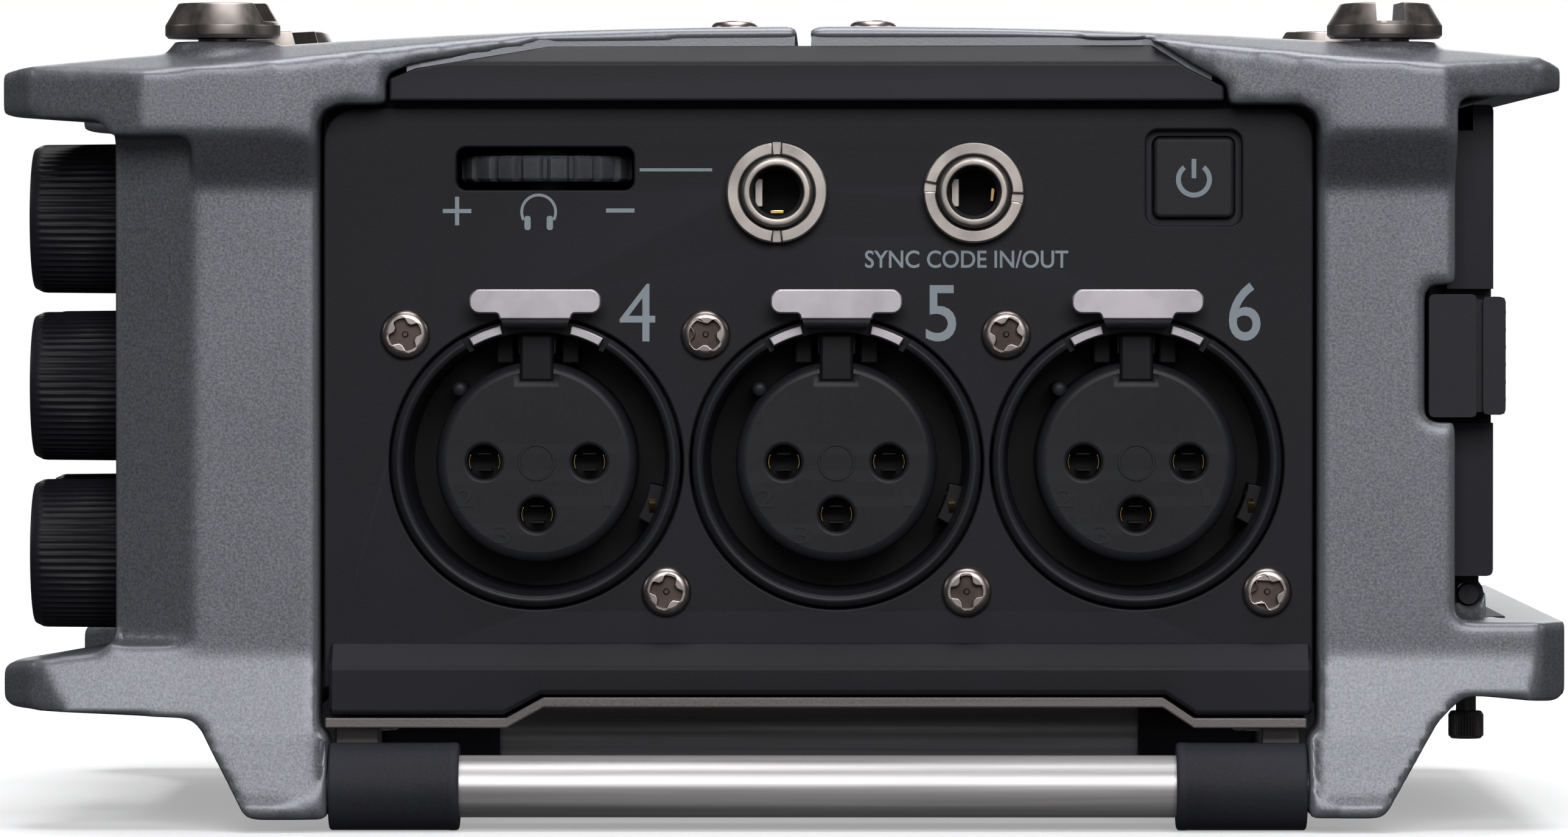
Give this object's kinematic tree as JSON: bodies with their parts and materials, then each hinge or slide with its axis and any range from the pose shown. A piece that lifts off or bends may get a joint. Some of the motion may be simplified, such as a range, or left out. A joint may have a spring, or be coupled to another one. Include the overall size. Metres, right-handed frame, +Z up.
{
  "type": "portable field recorder",
  "caption": "Compact field recorder: cast end frames, front screen with keys and level knobs, side microphone sockets, carry rods and a hinged battery door.",
  "frame": {"origin": "middle of the bounding box seen from above, on the surface the recorder stands on", "axes": "+Z up; the front panel with the knobs faces -Y; inputs 4 to 6 and the phones socket face +X; the battery door faces +Y"},
  "size_m": [0.1, 0.1212, 0.0639],
  "materials": {
    "cast": "fine blasted grey coat on a casting",
    "screw": "satin dark nickel",
    "dark_metal": "knurled dark nickel",
    "plastic": "finely grained moulding",
    "plate": "brown-grey coat",
    "screen": "polished dark window",
    "board": "circuit board and its components",
    "rubber": "matt",
    "red_key": "matt",
    "housing": "semi-gloss glass-filled moulding",
    "steel": "polished rod",
    "nickel": "bright nickel"
  },
  "bodies": {
    "recorder": {"front_frame": "cast", "rear_frame": "cast", "corner_screw_front_right": "screw", "corner_screw_front_left": "screw", "corner_screw_rear_right": "screw", "corner_screw_rear_left": "screw", "top_cover": "plastic", "right_panel": "plastic", "left_panel": "plastic", "bottom_plate": "plate", "front_panel": "plastic", "display_window": "screen", "front_board": "board", "main_board": "board", "right_rod": "steel", "left_rod": "steel", "right_rod_front_cap": "rubber", "right_rod_rear_cap": "rubber", "left_rod_front_cap": "rubber", "left_rod_rear_cap": "rubber", "input_1_housing": "housing", "input_2_housing": "housing", "input_3_housing": "housing", "input_4_housing": "housing", "input_5_housing": "housing", "input_6_housing": "housing", "phones_jack": "nickel", "sync_jack": "nickel", "battery_holder": "plastic"},
    "level_knob_1": {"level_knob_1": "rubber"},
    "level_knob_2": {"level_knob_2": "rubber"},
    "level_knob_3": {"level_knob_3": "rubber"},
    "level_knob_4": {"level_knob_4": "rubber"},
    "level_knob_5": {"level_knob_5": "rubber"},
    "level_knob_6": {"level_knob_6": "rubber"},
    "menu_key": {"menu_key": "rubber"},
    "previous_key": {"previous_key": "rubber"},
    "next_key": {"next_key": "rubber"},
    "stop_key": {"stop_key": "rubber"},
    "play_key": {"play_key": "rubber"},
    "record_key": {"record_key": "red_key"},
    "track_1_key": {"track_1_key": "rubber"},
    "track_2_key": {"track_2_key": "rubber"},
    "track_3_key": {"track_3_key": "rubber"},
    "track_4_key": {"track_4_key": "rubber"},
    "track_5_key": {"track_5_key": "rubber"},
    "track_6_key": {"track_6_key": "rubber"},
    "power_button": {"power_button": "plastic"},
    "volume_wheel": {"volume_wheel": "rubber"},
    "input_1_latch": {"input_1_latch": "nickel"},
    "input_2_latch": {"input_2_latch": "nickel"},
    "input_3_latch": {"input_3_latch": "nickel"},
    "input_4_latch": {"input_4_latch": "nickel"},
    "input_5_latch": {"input_5_latch": "nickel"},
    "input_6_latch": {"input_6_latch": "nickel"},
    "battery_door": {"battery_door": "plastic"},
    "right_door_latch": {"right_door_latch": "plastic"},
    "left_door_latch": {"left_door_latch": "plastic"},
    "port_flap": {"port_flap": "rubber"},
    "thumb_screw": {"thumb_screw": "dark_metal"}
  },
  "joints": [
    {"name": "level_knob_1_turn", "type": "hinge", "parent": "recorder", "child": "level_knob_1", "pos_m": [0.0126, -0.053, 0.0473], "axis": [0, -1, 0], "range_deg": [-150, 150]},
    {"name": "level_knob_2_turn", "type": "hinge", "parent": "recorder", "child": "level_knob_2", "pos_m": [0.0126, -0.053, 0.03415], "axis": [0, -1, 0], "range_deg": [-150, 150]},
    {"name": "level_knob_3_turn", "type": "hinge", "parent": "recorder", "child": "level_knob_3", "pos_m": [0.0126, -0.053, 0.021], "axis": [0, -1, 0], "range_deg": [-150, 150]},
    {"name": "level_knob_4_turn", "type": "hinge", "parent": "recorder", "child": "level_knob_4", "pos_m": [0.0315, -0.053, 0.0473], "axis": [0, -1, 0], "range_deg": [-150, 150]},
    {"name": "level_knob_5_turn", "type": "hinge", "parent": "recorder", "child": "level_knob_5", "pos_m": [0.0315, -0.053, 0.03415], "axis": [0, -1, 0], "range_deg": [-150, 150]},
    {"name": "level_knob_6_turn", "type": "hinge", "parent": "recorder", "child": "level_knob_6", "pos_m": [0.0315, -0.053, 0.021], "axis": [0, -1, 0], "range_deg": [-150, 150]},
    {"name": "menu_key_press", "type": "slide", "parent": "recorder", "child": "menu_key", "axis": [0, 1, 0], "range_m": [0, 0.0005], "stiffness_N_per_m": 1200, "springref_m": -0.0003},
    {"name": "previous_key_press", "type": "slide", "parent": "recorder", "child": "previous_key", "axis": [0, 1, 0], "range_m": [0, 0.0005], "stiffness_N_per_m": 1200, "springref_m": -0.0003},
    {"name": "next_key_press", "type": "slide", "parent": "recorder", "child": "next_key", "axis": [0, 1, 0], "range_m": [0, 0.0005], "stiffness_N_per_m": 1200, "springref_m": -0.0003},
    {"name": "stop_key_press", "type": "slide", "parent": "recorder", "child": "stop_key", "axis": [0, 1, 0], "range_m": [0, 0.0005], "stiffness_N_per_m": 1200, "springref_m": -0.0003},
    {"name": "play_key_press", "type": "slide", "parent": "recorder", "child": "play_key", "axis": [0, 1, 0], "range_m": [0, 0.0005], "stiffness_N_per_m": 1200, "springref_m": -0.0003},
    {"name": "record_key_press", "type": "slide", "parent": "recorder", "child": "record_key", "axis": [0, 1, 0], "range_m": [0, 0.0005], "stiffness_N_per_m": 1200, "springref_m": -0.0003},
    {"name": "track_1_key_press", "type": "slide", "parent": "recorder", "child": "track_1_key", "axis": [0, 1, 0], "range_m": [0, 0.0005], "stiffness_N_per_m": 1200, "springref_m": -0.0003},
    {"name": "track_2_key_press", "type": "slide", "parent": "recorder", "child": "track_2_key", "axis": [0, 1, 0], "range_m": [0, 0.0005], "stiffness_N_per_m": 1200, "springref_m": -0.0003},
    {"name": "track_3_key_press", "type": "slide", "parent": "recorder", "child": "track_3_key", "axis": [0, 1, 0], "range_m": [0, 0.0005], "stiffness_N_per_m": 1200, "springref_m": -0.0003},
    {"name": "track_4_key_press", "type": "slide", "parent": "recorder", "child": "track_4_key", "axis": [0, 1, 0], "range_m": [0, 0.0005], "stiffness_N_per_m": 1200, "springref_m": -0.0003},
    {"name": "track_5_key_press", "type": "slide", "parent": "recorder", "child": "track_5_key", "axis": [0, 1, 0], "range_m": [0, 0.0005], "stiffness_N_per_m": 1200, "springref_m": -0.0003},
    {"name": "track_6_key_press", "type": "slide", "parent": "recorder", "child": "track_6_key", "axis": [0, 1, 0], "range_m": [0, 0.0005], "stiffness_N_per_m": 1200, "springref_m": -0.0003},
    {"name": "power_button_press", "type": "slide", "parent": "recorder", "child": "power_button", "axis": [-1, 0, 0], "range_m": [0, 0.0005], "stiffness_N_per_m": 1200, "springref_m": -0.0003},
    {"name": "volume_wheel_turn", "type": "hinge", "parent": "recorder", "child": "volume_wheel", "pos_m": [0.0389, -0.0184, 0.0511], "axis": [0, 0, 1], "range_deg": [-145, 145]},
    {"name": "input_1_release", "type": "slide", "parent": "recorder", "child": "input_1_latch", "axis": [1, 0, 0], "range_m": [0, 0.0012], "stiffness_N_per_m": 1500, "springref_m": -0.0004},
    {"name": "input_2_release", "type": "slide", "parent": "recorder", "child": "input_2_latch", "axis": [1, 0, 0], "range_m": [0, 0.0012], "stiffness_N_per_m": 1500, "springref_m": -0.0004},
    {"name": "input_3_release", "type": "slide", "parent": "recorder", "child": "input_3_latch", "axis": [1, 0, 0], "range_m": [0, 0.0012], "stiffness_N_per_m": 1500, "springref_m": -0.0004},
    {"name": "input_4_release", "type": "slide", "parent": "recorder", "child": "input_4_latch", "axis": [-1, 0, 0], "range_m": [0, 0.0012], "stiffness_N_per_m": 1500, "springref_m": -0.0004},
    {"name": "input_5_release", "type": "slide", "parent": "recorder", "child": "input_5_latch", "axis": [-1, 0, 0], "range_m": [0, 0.0012], "stiffness_N_per_m": 1500, "springref_m": -0.0004},
    {"name": "input_6_release", "type": "slide", "parent": "recorder", "child": "input_6_latch", "axis": [-1, 0, 0], "range_m": [0, 0.0012], "stiffness_N_per_m": 1500, "springref_m": -0.0004},
    {"name": "battery_door_open", "type": "hinge", "parent": "recorder", "child": "battery_door", "pos_m": [0, 0.0534, 0.018], "axis": [-1, 0, 0], "range_deg": [0, 90]},
    {"name": "right_door_latch_slide", "type": "slide", "parent": "battery_door", "child": "right_door_latch", "axis": [-1, 0, 0], "range_m": [0, 0.0025], "stiffness_N_per_m": 500, "springref_m": -0.0008},
    {"name": "left_door_latch_slide", "type": "slide", "parent": "battery_door", "child": "left_door_latch", "axis": [1, 0, 0], "range_m": [0, 0.0025], "stiffness_N_per_m": 500, "springref_m": -0.0008},
    {"name": "port_flap_open", "type": "hinge", "parent": "recorder", "child": "port_flap", "pos_m": [-0.0462, 0.02, 0.046], "axis": [0, -1, 0], "range_deg": [0, 110]},
    {"name": "thumb_screw_turn", "type": "hinge", "parent": "recorder", "child": "thumb_screw", "pos_m": [0.025, 0.0541, 0.008], "axis": [0, 0, 1], "continuous": true}
  ]
}
